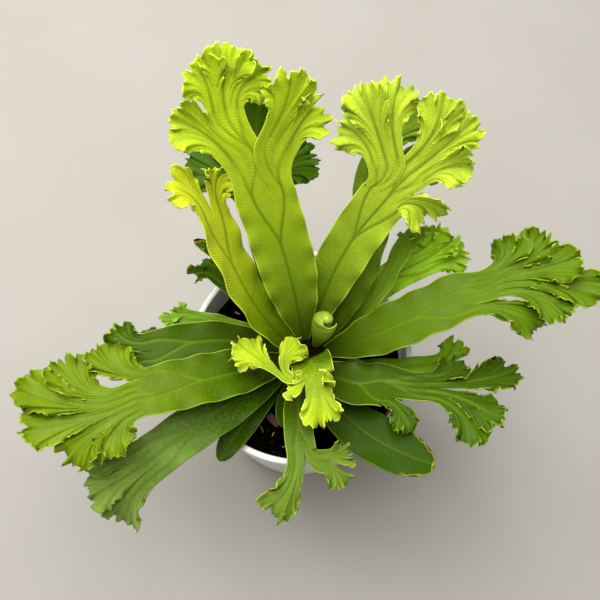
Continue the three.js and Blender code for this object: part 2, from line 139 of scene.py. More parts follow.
# Most headings, turns, lengths and widths here are the rounded results of a separate fitting
# script, not values chosen by hand. The rises, bends and rings were chosen one by one.
FRONDS = {
    # The three tall young fronds that stand up at the rear.
    "frond_tall": Frond("young", "inner", 106, 66, -8, 7, 106, 30, 19, [
        fork(-43, 30, 5, [fork(-42, 26, -20, lobe=17), fork(28, 34)], 2),
        fork(13, 23, -5, [
            fork(-17, 23, -5, [fork(-90, 29, -5), fork(-26, 30, 10), fork(26, 26)]),
            fork(46, 38, -25, lobe=18),
        ], 3),
    ]),
    "frond_upright_left": Frond("young", "inner", 170, 58, -6, -48, 101, 26, 20, [
        fork(-50, 25, 10, lobe=14), fork(64, 30, -20, lobe=18),
    ]),
    "frond_upright_right": Frond("young", "middle", 74, 60, -6, -24, 104, 26, 17, [
        fork(-120, 32, -30, share=2),
        fork(-14, 20, -5, [fork(-54, 29, -15), fork(6, 38, -5), fork(48, 41, 6)], 3),
        fork(50, 20, 0, [fork(-34, 40, -9), fork(5, 38, 6), fork(58, 30, -14)], 3),
    ]),
    # The newest open frond, which folds over towards the front.
    "frond_newest": Frond("newest", "inner", 284, 82, -60, -8, 40, 22, 19, [
        fork(-142, 20, 18, [fork(-98, 24, 12, lobe=12), fork(14, 33, -6, lobe=17)], 1, 7),
        fork(-104, 20, -4, lobe=7),
        fork(0, 27, -62, share=5, lobe=17),
        fork(74, 13, 34, lobe=7),
    ]),
    # The spreading fronds of middle age.
    "frond_right": Frond("mature", "middle", 2, 38, -18, 18, 85, 29, 17, [
        fork(-65, 49, -28, share=2, lobe=13),
        fork(0, 20, -5, [
            fork(-73, 44, -22), fork(-44, 56, -12), fork(-17, 47, -4), fork(30, 40, 3),
            fork(66, 30, 10),
        ], 5),
    ]),
    "frond_left": Frond("mature", "middle", 207, 34, -22, -9, 84, 28, 19, [
        fork(-85, 43, -5),
        fork(13, 17, -5, [
            fork(-97, 48, -5), fork(-64, 59, -5), fork(-27, 54, -12), fork(21, 42, -18),
            fork(77, 29, -22),
        ], 4),
    ]),
    "frond_front_right": Frond("mature", "middle", 306, 30, -18, 52, 43, 28, 17, [
        fork(-90, 31, -25, lobe=12),
        fork(6, 24, -5, [
            fork(-70, 44, -22), fork(-34, 46, -15), fork(20, 56, -5), fork(54, 28, 16, lobe=14),
        ], 3),
    ]),
    "frond_rear": Frond("old", "middle", 119, 46, -8, -11, 81, 20, 18, [
        fork(-97, 50, -25), fork(-18, 60, 8), fork(67, 49, -42),
    ]),
    "frond_rear_right": Frond("old", "outer", 44, 50, -8, 31, 99, 25, 18, [
        fork(-100, 46, -15), fork(-38, 52),
    ]),
    # The older fronds under them.
    "frond_front_left": Frond("old", "outer", 220, 26, -30, -3, 94, 25, 17, [
        fork(-64, 35, -20), fork(-11, 43, -30), fork(32, 44, -60),
    ]),
    "frond_front_blunt": Frond("old", "outer", 290, 15, -16, 59, 89, 28, 17, []),
    "frond_far_left": Frond("mature", "outer", 170, 24, -18, 30, 78, 22, 14, [
        fork(-69, 27), fork(26, 16, -12),
    ]),
    "frond_front": Frond("mature", "outer", 257, 27, -24, 23, 51, 16, 13, [
        fork(-51, 39, -25, share=3, lobe=15),
        fork(86, 15, -5, [fork(-95, 17, -25), fork(26, 15, -5)], 2),
    ]),
    "frond_far_right": Frond("mature", "lowest", 47, 32, -10, -26, 70, 18, 13, [
        fork(-29, 28, -15), fork(17, 27), fork(58, 25, 5),
    ]),
    "frond_two_finger": Frond("mature", "lowest", 25, 45, -6, 30, 72, 11, 9, [
        fork(-49, 19, -5), fork(9, 13),
    ]),
    "frond_short_rear": Frond("old", "outer", 80, 40, -10, -8, 50, 16, 12, []),
    # The lowest, oldest and smallest fronds.
    "frond_low_front_left": Frond("old", "lowest", 227, 14, -14, 14, 65, 15, 12, []),
    "frond_low_front": Frond("old", "lowest", 247, 20, -22, 25, 32, 14, 12, []),
    "frond_low_rear_left": Frond("old", "lowest", 141, 30, -10, 2, 58, 11, 8, [
        fork(-14, 9), fork(75, 14, -10),
    ]),
    "frond_low_pointed": Frond("old", "lowest", 120, 24, -12, 38, 81, 10, 8, []),
    "frond_low_left": Frond("mature", "lowest", 158, 22, -10, 18, 56, 8, 10, [
        fork(-25, 11, 5), fork(36, 17, -10),
    ]),
    "frond_low_far_left": Frond("old", "lowest", 184, 15, -10, -14, 70, 11, 11, [
        fork(-18, 11), fork(69, 10, -8),
    ]),
    "frond_low_right": Frond("old", "lowest", 344, 12, -6, 24, 60, 10, 13, [fork(58, 19)]),
}

# Linear colours of each frond's blade and of its crest. Many of them were scaled by hand with
# factors that a separate comparison script gave.
# Besides each frond's age and tissue, these colours hold painted shade: fronds and blades that lie in
# shade, such as the newest frond's rising blade, were given darker colours.
LEAF_COLOURS = {
    "frond_tall": ((0.300, 0.470, 0.014), (0.600, 0.780, 0.018)),
    "frond_upright_left": ((0.230, 0.370, 0.003), (0.930, 0.980, 0.032)),
    "frond_upright_right": ((0.260, 0.410, 0.014), (0.670, 0.860, 0.045)),
    "frond_newest": ((0.060, 0.130, 0.001), (0.540, 0.680, 0.018)),
    "frond_unfurling": ((0.200, 0.350, 0.003), (0.660, 0.760, 0.110)),
    "frond_right": ((0.095, 0.172, 0.002), (0.118, 0.210, 0.003)),
    "frond_left": ((0.052, 0.112, 0.001), (0.190, 0.280, 0.003)),
    "frond_front_right": ((0.044, 0.088, 0.001), (0.056, 0.125, 0.001)),
    "frond_rear": ((0.050, 0.120, 0.002), (0.055, 0.130, 0.003)),
    "frond_rear_right": ((0.110, 0.190, 0.008), (0.200, 0.320, 0.020)),
    "frond_front_left": ((0.038, 0.092, 0.001), (0.250, 0.370, 0.060)),
    "frond_front_blunt": ((0.032, 0.080, 0.001), (0.038, 0.090, 0.001)),
    "frond_far_left": ((0.048, 0.098, 0.001), (0.055, 0.115, 0.001)),
    "frond_front": ((0.055, 0.115, 0.003), (0.200, 0.310, 0.030)),
    "frond_far_right": ((0.330, 0.600, 0.014), (0.350, 0.620, 0.018)),
    "frond_two_finger": ((0.180, 0.320, 0.015), (0.220, 0.380, 0.018)),
    "frond_low_left": ((0.170, 0.340, 0.020), (0.210, 0.400, 0.030)),
    "frond_low_right": ((0.150, 0.320, 0.004), (0.220, 0.440, 0.008)),
}
OLD_COLOURS = ((0.030, 0.072, 0.001), (0.038, 0.090, 0.001))
# How a frond's tissue looks: how strongly it ruffles, the colours of its ribs and margin, its
# roughness, its subsurface and specular weights, the strength of its side veins, the share of
# the blade's length where its colour starts to turn, and how far it has turned at the fork.
Look = namedtuple("Look", "ruffle rib margin roughness glow shine veins turns_at turned")
LOOKS = {
    "newest": Look(1.0, (0.22, 0.34, 0.002), (0.84, 0.90, 0.14),
                   roughness=0.50, glow=0.18, shine=0.12, veins=0.26, turns_at=0.75, turned=0.35),
    "young": Look(1.0, (0.09, 0.18, 0.001), (0.78, 0.88, 0.10),
                  roughness=0.48, glow=0.20, shine=0.12, veins=0.34, turns_at=0.3, turned=0.7),
    "mature": Look(1.0, (0.15, 0.26, 0.008), (0.42, 0.55, 0.04),
                   roughness=0.30, glow=0.10, shine=0.09, veins=0.24, turns_at=0.5, turned=0.5),
    "old": Look(0.85, (0.09, 0.16, 0.01), (0.15, 0.24, 0.01),
                roughness=0.24, glow=0.05, shine=0.06, veins=0.16, turns_at=0.5, turned=0.5),
}
WORN_FRONDS = ("frond_front_blunt", "frond_short_rear", "frond_low_pointed")
BROWN, YELLOW, SPOT = (0.060, 0.022, 0.006), (0.42, 0.33, 0.03), (0.045, 0.050, 0.004)


# ---------- Small tools ----------
def ease(x):
    """A smooth step from 0 to 1."""
    t = np.clip(x, 0, 1)
    return t * t * (3 - 2 * t)


def wave(x):
    """A sine with a period of 1."""
    return np.sin(2 * math.pi * x)


def saw(x):
    """A zigzag from 0 to 1 with a period of 1."""
    return 2 * np.abs(x - np.floor(x) - 0.5)


def spin(vector, axis, angle):
    """A vector turned about a unit axis."""
    c, s = math.cos(angle), math.sin(angle)
    return vector * c + np.cross(axis, vector) * s + axis * (axis @ vector) * (1 - c)


def make_object(name, points, faces, values=None, materials=(), face_materials=None):
    """A smooth mesh object from points in millimetres; faces are arrays of corner numbers."""
    mesh = bpy.data.meshes.new(name)
    groups = [np.asarray(group) for group in faces if len(group)]
    sizes = np.concatenate([np.full(len(group), group.shape[1]) for group in groups])
    corners = np.concatenate([group.ravel() for group in groups])
    mesh.vertices.add(len(points))
    mesh.vertices.foreach_set("co", (np.asarray(points) * MM).astype(np.float32).ravel())
    mesh.loops.add(len(corners))
    mesh.loops.foreach_set("vertex_index", corners.astype(np.int32))
    mesh.polygons.add(len(sizes))
    mesh.polygons.foreach_set("loop_start", (np.cumsum(sizes) - sizes).astype(np.int32))
    for value_name, numbers in (values or {}).items():
        attribute = mesh.attributes.new(value_name, "FLOAT", "POINT")
        attribute.data.foreach_set("value", np.asarray(numbers, np.float32))
    for material in materials:
        mesh.materials.append(material)
    if face_materials is not None:
        mesh.polygons.foreach_set("material_index", np.asarray(face_materials, np.int32))
    mesh.update(calc_edges=True)
    mesh.validate()
    mesh.polygons.foreach_set("use_smooth", np.ones(len(mesh.polygons), bool))
    obj = bpy.data.objects.new(name, mesh)
    bpy.context.scene.collection.objects.link(obj)
    return obj


def hand_over(obj, node):
    """The piece rides on the root body and stands for its CAD node."""
    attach(obj, "root")
    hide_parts(node)


# ---------- Material nodes ----------
class Nodes:
    """A material's node tree, with short calls for the nodes that it uses."""

    def __init__(self, name):
        self.material = bpy.data.materials.new(name)
        self.material.use_nodes = True
        self.tree = self.material.node_tree
        self.shader = self.tree.nodes["Principled BSDF"]
        self.place = self.add("ShaderNodeTexCoord").outputs["Object"]

    def add(self, kind, **settings):
        node = self.tree.nodes.new(kind)
        for key, value in settings.items():
            setattr(node, key, value)
        return node

    def feed(self, socket, value):
        if isinstance(value, bpy.types.NodeSocket):
            self.tree.links.new(value, socket)
        elif isinstance(value, tuple):
            socket.default_value = (*value, 1.0)
        else:
            socket.default_value = value

    def math(self, operation, first, second=0.0, clamp=False):
        node = self.add("ShaderNodeMath", operation=operation, use_clamp=clamp)
        self.feed(node.inputs[0], first)
        self.feed(node.inputs[1], second)
        return node.outputs[0]

    def mix(self, share, first, second):
        node = self.add("ShaderNodeMix", data_type="RGBA")
        self.feed(node.inputs["Factor"], share)
        self.feed(node.inputs["A"], first)
        self.feed(node.inputs["B"], second)
        return node.outputs["Result"]

    def layer(self, colour, mask, strength, tint):
        """The colour with a tint laid over it where the mask is, at most by the strength."""
        return self.mix(self.math("MULTIPLY", mask, strength), colour, tint)

    def value(self, name):
        """A value stored at the mesh's points."""
        return self.add("ShaderNodeAttribute", attribute_name=name).outputs["Fac"]

    def noise(self, size, detail=3.0, stretch=None):
        """Noise from 0 to 1 with features of about size millimetres."""
        node = self.add("ShaderNodeTexNoise")
        node.inputs["Scale"].default_value = 1 / (size * MM)
        node.inputs["Detail"].default_value = detail
        source = self.place
        if stretch:
            scaled = self.add("ShaderNodeMapping")
            scaled.inputs["Scale"].default_value = stretch
            self.feed(scaled.inputs["Vector"], source)
            source = scaled.outputs["Vector"]
        self.feed(node.inputs["Vector"], source)
        return node.outputs["Fac"]

    def ramp(self, value, low, high):
        """Value taken from the range low..high to 0..1, smoothly."""
        node = self.add("ShaderNodeMapRange", interpolation_type="SMOOTHSTEP")
        self.feed(node.inputs["Value"], value)
        node.inputs["From Min"].default_value = low
        node.inputs["From Max"].default_value = high
        return node.outputs["Result"]

    def bump(self, height, distance, strength=1.0):
        node = self.add("ShaderNodeBump")
        node.inputs["Distance"].default_value = distance * MM
        node.inputs["Strength"].default_value = strength
        self.feed(node.inputs["Height"], height)
        self.feed(self.shader.inputs["Normal"], node.outputs["Normal"])

    def finish(self, colour, roughness, **constants):
        self.feed(self.shader.inputs["Base Color"], colour)
        self.feed(self.shader.inputs["Roughness"], roughness)
        for key, value in constants.items():
            self.shader.inputs[key.replace("_", " ")].default_value = value
        return self.material


def shade(colour, factor):
    """A colour made darker or paler by a factor, but no paler than white."""
    return tuple(min(1, factor * part) for part in colour)


def leaf_material(name, blade, crest, look, worn=False):
    """Leaf tissue: veins, midrib, pale margin, mottling and a paler underside."""
    n = Nodes(name)
    edge = n.value("edge")
    colour = n.mix(n.value("crest"), blade, crest)
    # Broad dark clouds, fine pale mottling, and shade in the valleys between folds.
    colour = n.layer(colour, n.ramp(n.noise(14), 0.3, 0.7), 0.30, shade(blade, 0.60))
    colour = n.layer(colour, n.ramp(n.noise(1.6, 5), 0.45, 0.75), 0.20, shade(crest, 1.3))
    colour = n.layer(colour, n.ramp(n.value("fold"), 0.3, -1.0), 0.40, shade(blade, 0.45))
    # Side veins, which fade to an even tone where they don't show, and the midrib.
    lines = n.ramp(n.math("SINE", n.math("MULTIPLY", n.value("vein"), 2 * math.pi)), -0.2, 1.0)
    lines = n.math("MULTIPLY", n.math("SUBTRACT", lines, 0.45), n.value("vein_show"))
    veins = n.math("ADD", lines, 0.45)
    colour = n.layer(colour, veins, look.veins, look.rib)
    colour = n.layer(colour, n.value("rib"), 0.65, look.rib)
    # Small dark spots along the midrib.
    spots = n.math("MULTIPLY", n.ramp(n.noise(1.1, 1), 0.70, 0.76), n.ramp(n.value("rib"), 0.05, 0.8))
    colour = n.layer(colour, spots, 0.7, SPOT)
    # Painted shade on the foot near the crown, where the tissue is also a little darker, then the pale
    # margin and the underside.
    colour = n.layer(colour, n.value("root"), 0.80, shade(blade, 0.16))
    colour = n.layer(colour, n.ramp(edge, 0.55, 0.1), 0.75, look.margin)
    between = tuple(0.5 * a + 0.5 * b for a, b in zip(blade, crest))
    colour = n.layer(colour, n.value("under"), 0.35, between)
    if worn:
        # A ragged brown margin with a yellow band inside it.
        depth = n.math("ADD", n.math("MULTIPLY", n.noise(5, 4), 9.0), n.math("MULTIPLY", edge, -1.0))
        brown = n.math("MULTIPLY", n.ramp(depth, 4.0, 5.0), n.value("worn"))
        yellow = n.math("MULTIPLY", n.ramp(depth, 3.2, 4.2), n.value("worn"))
        colour = n.mix(brown, colour, BROWN)
        colour = n.mix(n.math("SUBTRACT", yellow, brown, clamp=True), colour, YELLOW)
    height = n.math("MULTIPLY", veins, -0.5)
    height = n.math("ADD", height, n.math("MULTIPLY", n.noise(0.9, 4), 0.35))
    n.bump(height, 0.22, 0.7)
    roughness = n.math("ADD", n.math("MULTIPLY", n.noise(6), 0.16), look.roughness - 0.08)
    return n.finish(colour, roughness, Subsurface_Weight=look.glow, Subsurface_Scale=0.0012,
                    Subsurface_Radius=(0.6, 1.0, 0.12), Specular_IOR_Level=look.shine)


# ---------- Growing a leaf ----------
class Leaf:
    """The single surface of a leaf, as rows of points joined with quads and triangles."""

    # What the material reads at each point. Edge is the distance to the margin, and vein counts
    # side veins from the crown.
    # The fold value marks where shade is painted: in the valleys between folds and pleats, and on the
    # shaded side of the rolled blade.
    NAMES = ("rib", "vein", "vein_show", "edge", "crest", "fold", "root", "worn")

    def __init__(self):
        self.points, self.values, self.quads, self.triangles = [], [], [], []
        self.count = 0

    def add_row(self, last, points, **values):
        """Adds a row of points, joins it to the last row if there is one, and returns its numbers."""
        self.points.append(points)
        blank = np.zeros(len(points))
        self.values.append(np.stack([blank + values.get(name, 0.0) for name in self.NAMES], axis=1))
        self.count += len(points)
        ids = np.arange(self.count - len(points), self.count)
        if last is not None:
            self.join(last, ids)
        return ids

    def join(self, low, high):
        """Joins a row to the next, which has as many columns or twice as many."""
        if len(low) == len(high):
            self.quads.append(np.stack([low[:-1], high[:-1], high[1:], low[1:]], axis=1))
            return
        left, middle, right = high[:-2:2], high[1:-1:2], high[2::2]
        self.triangles.append(np.stack([low[:-1], left, middle], axis=1))
        self.triangles.append(np.stack([low[:-1], middle, low[1:]], axis=1))
        self.triangles.append(np.stack([low[1:], middle, right], axis=1))

    def solid(self, name, material):
        """Gives the surface its thickness, closes its margin and makes the object."""
        points = np.concatenate(self.points)
        values = np.concatenate(self.values)
        quads = np.concatenate(self.quads)
        triangles = np.concatenate(self.triangles) if self.triangles else np.empty((0, 3), int)
        halves = np.concatenate([quads[:, [0, 1, 2]], quads[:, [0, 2, 3]], triangles])
        a, b, c = (points[halves[:, corner]] for corner in range(3))
        face_normals = np.cross(b - a, c - a)
        normals = np.zeros_like(points)
        for corner in range(3):
            np.add.at(normals, halves[:, corner], face_normals)
        normals /= np.linalg.norm(normals, axis=1, keepdims=True) + 1e-12
        edge = values[:, self.NAMES.index("edge")]
        thickness = MARGIN_THICKNESS + (LEAF_THICKNESS - MARGIN_THICKNESS) * ease(edge / 4)
        lift = normals * thickness[:, None] / 2
        under = len(points)
        ends = [np.stack([quads[:, i], quads[:, (i + 1) % 4]], axis=1) for i in range(4)]
        ends += [np.stack([triangles[:, i], triangles[:, (i + 1) % 3]], axis=1) for i in range(3)]
        ends = np.concatenate(ends)
        keys = ends[:, 0] * under + ends[:, 1]
        margin = ends[~np.isin(keys, ends[:, 1] * under + ends[:, 0])]
        first, second = margin[:, 0], margin[:, 1]
        band = np.stack([first, under + first, under + second, second], axis=1)
        all_quads = np.concatenate([quads, under + quads[:, ::-1], band])
        all_triangles = np.concatenate([triangles, under + triangles[:, ::-1]])
        named = {key: np.tile(values[:, i], 2) for i, key in enumerate(self.NAMES)}
        named["under"] = np.repeat([0.0, 1.0], under)
        return make_object(name, np.concatenate([points + lift, points - lift]),
                           [all_quads, all_triangles], named, [material])


def first_station(ring, heading, rise):
    """The place on the crown where a frond starts, and its directions."""
    heading, rise = math.radians(heading), math.radians(rise)
    radius, height = RINGS[ring]
    out = np.array([math.cos(heading), math.sin(heading), 0.0])
    along = out * math.cos(rise) + UP * math.sin(rise)
    beside = np.array([-math.sin(heading), math.cos(heading), 0.0])
    place = np.array([CROWN_X, 0.0, height]) + out * radius
    return Station(place, along, beside, np.cross(along, beside))


def walk(start, branch, rows, turn_weigh, bend_weigh, curl=0.0):
    """The stations of a branch's rows. Curl is a further bend near its tip."""
    steps = (np.arange(rows) + 0.5) / rows
    share = [weights / weights.sum() for weights in (turn_weigh(steps), bend_weigh(steps), steps ** 4)]
    turns = math.radians(branch.turn) * share[0]
    bends = math.radians(branch.bend) * share[1] + math.radians(curl) * share[2]
    stations = [start]
    for turn, bend in zip(turns, bends):
        place, along, beside, above = stations[-1]
        along, beside = spin(along, above, turn), spin(beside, above, turn)
        along, above = spin(along, beside, -bend), spin(above, beside, -bend)
        stations.append(Station(place + along * branch.length / rows, along, beside, above))
    return stations


def offset(station, along, beside, above):
    """Points at these distances from a station."""
    return (station.place + np.multiply.outer(along, station.along)
            + np.multiply.outer(beside, station.beside) + np.multiply.outer(above, station.above))


def columns_of(branch, parent_lobe):
    """How many columns of quads a branch starts with. A narrow lobe has fewer."""
    lobe = branch.lobe or parent_lobe
    if branch.forks:
        return sum(columns_of(child, lobe) for child in branch.forks)
    return 16 if lobe >= 12 else 12


def forked_layout(forks, lobe):
    """Places across a row, from -1 to 1, that have the borders between forks among them."""
    total = sum(child.share for child in forks)
    places, border = [np.array([-1.0])], -1.0
    for child in forks:
        width = 2 * child.share / total
        places.append(np.linspace(border, border + width, columns_of(child, lobe) + 1)[1:])
        border += width
    return np.concatenate(places)


def even_layout(columns):
    """Even places across a row, from -1 to 1."""
    return np.linspace(-1, 1, columns + 1)


def from_rib(x, half, centres, spread):
    """Distance across a row to the nearest midrib. Each fork has one, and they part with spread."""
    return np.min([np.abs(x - centre * spread) * half for centre in centres], axis=0)


def rib_line(distance):
    """A midrib's strength, from 1 on its line to 0 beside it."""
    return np.exp(-(distance / RIB_WIDTH) ** 2)


def fork_centres(forks):
    """The middle of each fork's stretch of its parent's last row."""
    total = sum(child.share for child in forks)
    ends = np.cumsum([child.share for child in forks])
    return [2 * (end - child.share / 2) / total - 1 for end, child in zip(ends, forks)] or [0.0]


def grow_blade(leaf, frond, look, rng):
    """The blade, from its stalk to its first fork, or to its rounded tip if it has none."""
    rows = int(frond.length / BLADE_STEP)
    stations = walk(first_station(frond.ring, frond.heading, frond.rise), frond, rows,
                    np.ones_like, lambda t: t)
    full = frond.width / 2
    stalk = min(STALK_MOST, max(STALK_LEAST, STALK_SHARE * frond.width))
    layout = forked_layout(frond.forks, frond.lobe) if frond.forks else even_layout(PLAIN_COLUMNS)
    even = even_layout(len(layout) - 1)
    centres = fork_centres(frond.forks)
    side_phases = rng.uniform(0, 2 * math.pi, 2)
    wave_length = rng.uniform(*WAVE_LENGTHS)
    last = None
    for row, station in enumerate(stations):
        t = row / rows
        reached = t * frond.length
        half = stalk + (full - stalk) * math.sin(math.pi / 2 * min(1, t / FULL_WIDTH_AT))
        to_tip = math.inf
        if not frond.forks:
            closing = max(0.0, (t - FULL_WIDTH_AT) / (1 - FULL_WIDTH_AT))
            half *= math.sqrt(max(0.0004, 1 - closing ** 2.4))
            to_tip = frond.length * (1 - t)
        x = even + (layout - even) * ease((t - 0.3) / 0.7)
        phase = np.where(x > 0, side_phases[0], side_phases[1])
        ripple = np.abs(x) ** 3 * np.sin(2 * math.pi * reached / wave_length + phase)
        away = from_rib(x, half, centres, ease((t - 0.68) / 0.32))
        rib = rib_line(away)
        rising = look.ruffle * BLADE_WAVE * ease(t / 0.4) * ripple
        last = leaf.add_row(
            last, offset(station, 0 * x, half * x, BLADE_CUP * half * x ** 2 + rising - 0.5 * rib),
            rib=rib, fold=0.5 * ripple, vein=(reached - VEIN_SLANT * away) / VEIN_SPACING,
            vein_show=ease(t / 0.1) * (1 - 0.3 * ease((t - 0.8) / 0.2)),
            edge=np.minimum((1 - np.abs(x)) * half, to_tip),
            crest=look.turned * ease((t - look.turns_at) / (1 - look.turns_at)),
            root=1 - ease(t / 0.65), worn=ease((t - 0.72) / 0.2))
    if frond.forks:
        grown = Grown(stations[-1], last, half, frond.lobe, frond.length, look.turned)
        grow_forks(leaf, frond.forks, grown, look, rng)


def grow_forks(leaf, forks, grown, look, rng):
    """The branches of a fork. Each starts on its own stretch of its parent's last row."""
    begin = 0
    points = leaf.points[-1]
    for order, branch in enumerate(forks):
        columns = columns_of(branch, grown.lobe)
        own = slice(begin, begin + columns + 1)
        starts = points[own] - grown.end.place
        start = np.stack([starts @ grown.end.along, starts @ grown.end.beside,
                          starts @ grown.end.above])
        begun = grown._replace(ids=grown.ids[own], lobe=branch.lobe or grown.lobe)
        joined = (order > 0, order < len(forks) - 1)
        if branch.forks:
            child = grow_branch(leaf, branch, begun, start, joined)
            grow_forks(leaf, branch.forks, child, look, rng)
        else:
            grow_lobe(leaf, branch, begun, start, joined, look, rng)
        begin += columns


def margin_distance(x, half, t, joined):
    """Distance to a branch's margin, which is no real margin where branches have just parted."""
    inner = np.where(x < 0, joined[0], joined[1])
    return (1 - np.abs(x)) * half + inner * (1 - ease(t / 0.5))


def grow_branch(leaf, branch, begun, start, joined):
    """A branch that forks again. Returns its end for its own forks to grow from."""
    rows = int(branch.length / LOBE_STEP)
    stations = walk(begun.end, branch, rows, lambda t: 1 - t, np.ones_like)
    half = min(0.8 * begun.half, 0.55 * begun.lobe)
    stretch = np.ptp(start[1]) / 2
    layout = forked_layout(branch.forks, begun.lobe)
    even = even_layout(len(layout) - 1)
    centres = fork_centres(branch.forks)
    ids = begun.ids
    for row in range(1, rows + 1):
        t = row / rows
        own = ease(t / 0.9)
        reached = begun.reached + t * branch.length
        x = even + (layout - even) * ease(t)
        away = from_rib(x, stretch + (half - stretch) * own, centres, ease(t))
        rib = (1 - 0.5 * ease(t)) * rib_line(away)
        folds = -np.cos(math.pi * (len(branch.forks) + 1) * x) * ease(t / 0.6)
        height = LOBE_CUP * half * x ** 2 - 0.25 * rib + 0.25 * folds
        along, beside, above = start * (1 - own) + own * np.stack([0 * x, half * x, height])
        ids = leaf.add_row(
            ids, offset(stations[row], along, beside, above), rib=rib, fold=0.3 * folds * own,
            vein=(reached - VEIN_SLANT * away) / VEIN_SPACING, vein_show=0.7,
            edge=margin_distance(x, half, t, joined), crest=begun.ripeness + RIPENING * t)
    return Grown(stations[-1], ids, half, begun.lobe, reached, begun.ripeness + RIPENING)


def draw_lobe(look, rng):
    """A lobe's own curl, waves, roll, keel, frill and ruffle, drawn at random."""
    return Lobe(
        curl=rng.uniform(-45, 45), phase=rng.uniform(0, 1, 6),
        cut_length=rng.uniform(*CUT_LENGTHS), tooth_length=rng.uniform(*TOOTH_LENGTHS),
        pleat_length=rng.uniform(*PLEAT_LENGTHS), crisp_length=rng.uniform(*CRISP_LENGTHS),
        roll=rng.uniform(-2.4, 2.4, 2), keel=rng.uniform(-0.30, 0.42),
        frill=rng.uniform(0.75, 1.3), ruffle=look.ruffle * rng.uniform(0.8, 1.35))


def grow_lobe(leaf, branch, begun, start, joined, look, rng):
    """A fan-shaped lobe, folded along its midrib, with a toothed and crisped margin."""
    lobe = draw_lobe(look, rng)
    rows = int(branch.length / LOBE_STEP)
    stations = walk(begun.end, branch, rows, lambda t: 1 - t, np.ones_like, lobe.curl)
    half = begun.lobe / 2
    stretch = np.ptp(start[1]) / 2
    doubling = [int(rows * share) for share in DOUBLED_AT]
    ids = begun.ids
    columns = len(ids) - 1
    for row in range(1, rows + 1):
        t = row / rows
        if row in doubling:
            columns *= 2
            fine = even_layout(columns)
            start = np.stack([np.interp(fine, even_layout(columns // 2), line) for line in start])
        x = even_layout(columns)
        own = ease(t / 0.9)  # how far the row has its own form rather than its parent's
        at_end = ease((t - 0.45) / 0.55)
        growing = ease((t - 0.1) / 0.6)
        left = (1 - t) * branch.length
        flare = 1 + LOBE_FLARE * ease((t - 0.35) / 0.65)
        reach = half * (LOBE_NECK + (1 - LOBE_NECK) * ease(t / 0.8)) * flare
        edge = np.minimum((1 - np.abs(x)) * reach, left)

        # Millimetres along the margin from the lobe's tip, and the same made uneven.
        margin = x * (1.25 * half + 0.75 * left)
        uneven = wave(margin / UNEVEN_LONG + lobe.phase[4])
        warped = margin + 1.6 * uneven + 0.8 * wave(margin / UNEVEN_SHORT + lobe.phase[5])

        # Cuts and teeth move the margin outwards, and at the tip also along the lobe.
        cut = np.abs(np.sin(math.pi * (warped / lobe.cut_length + lobe.phase[0]))) ** 0.5 - 0.75
        tooth = (saw(warped / lobe.tooth_length + lobe.phase[1]) - 0.5) * (0.7 + 0.4 * uneven)
        frill = lobe.frill * (CUT_DEPTH * cut + TOOTH_DEPTH * tooth)
        outward = np.sign(x) * np.abs(x) ** 6 * 0.6 * frill * ease((t - 0.15) / 0.4)
        roundness = half * ease((t - 0.3) / 0.7)
        tip = -roundness * (1 - np.sqrt(1 - 0.93 * x ** 2)) + frill * at_end ** 2 * (1 - 0.4 * x ** 4)

        # Pleats, crisping and the rolled sides lift the surface near the margin.
        pleat = wave(warped / lobe.pleat_length + lobe.phase[2]) * np.exp(-edge / (0.4 * half))
        crisp = wave(warped / lobe.crisp_length + lobe.phase[3]) * np.exp(-edge / 1.8)
        side_roll = np.where(x < 0, lobe.roll[0], lobe.roll[1]) * (1 - ease(left / 12) * 0.4)
        rolled = side_roll * np.exp(-edge / 2.2) * np.abs(x)
        ruffle = growing * (PLEAT_HEIGHT * pleat + CRISP_HEIGHT * crisp + rolled)

        # The midrib fades towards the tip, where a rib on each side takes over.
        away = np.abs(x) * (stretch + (reach - stretch) * own)
        side_ribs = 0.4 * at_end * rib_line(np.abs(np.abs(x) - 0.5 * at_end) * reach)
        rib = np.maximum(rib_line(away) * (1 - 0.5 * at_end), side_ribs)
        folded = LOBE_CUP * reach * x ** 2 + lobe.keel * growing * away
        height = folded + lobe.ruffle * ruffle - 0.2 * rib
        along, beside, above = start * (1 - own) + own * np.stack([tip, reach * x + outward, height])
        reached = begun.reached + t * branch.length
        ids = leaf.add_row(
            ids, offset(stations[row], along, beside, above), rib=rib, fold=pleat * growing,
            vein=(reached - (VEIN_SLANT + 0.7 * t) * away) / VEIN_SPACING, vein_show=0.7 - 0.3 * t,
            edge=np.minimum(margin_distance(x, reach, t, joined), left),
            crest=begun.ripeness + (1 - begun.ripeness) * ease(t))


def make_frond(order, name, frond):
    """One open frond, as one piece."""
    rng = np.random.default_rng(FROND_SEED + order)
    look = LOOKS[frond.age]
    leaf = Leaf()
    grow_blade(leaf, frond, look, rng)
    blade, crest = LEAF_COLOURS.get(name, OLD_COLOURS)
    material = leaf_material(name + "_tissue", blade, crest, look, name in WORN_FRONDS)
    hand_over(leaf.solid(name + "_leaf", material), name)


# ---------- The unfurling frond ----------
SCROLL = fork(16, 34, -4)
SCROLL_HEADING, SCROLL_RISE = 37, 74
SCROLL_ROWS, SCROLL_COLUMNS = 44, 150
SCROLL_RADII = [1.8, 3.4, 5.4, 7.0, 7.8, 7.2, 1.3]
SCROLL_TURNS = 2.2
SCROLL_WIDTH = 55  # about what the blade would measure unrolled
SPIRAL_CORE, SPIRAL_SPREAD = 0.12, 0.84
CRUMPLE, CRUMPLE_WAVES = 1.1, 31
SCROLL_END = math.radians(212)
SCROLL_FRONT = math.radians(144)  # the side that faces away from the tall fronds
SCROLL_SHADE = math.radians(57)  # the side of the roll on which shade is painted
TIP_LEAN, TIP_DROOP = 3.6, 3.2  # how far the closed tip hangs over the front, and down
FLAP_SHORTFALL = 0.24  # how much lower the outer flap ends than the tip


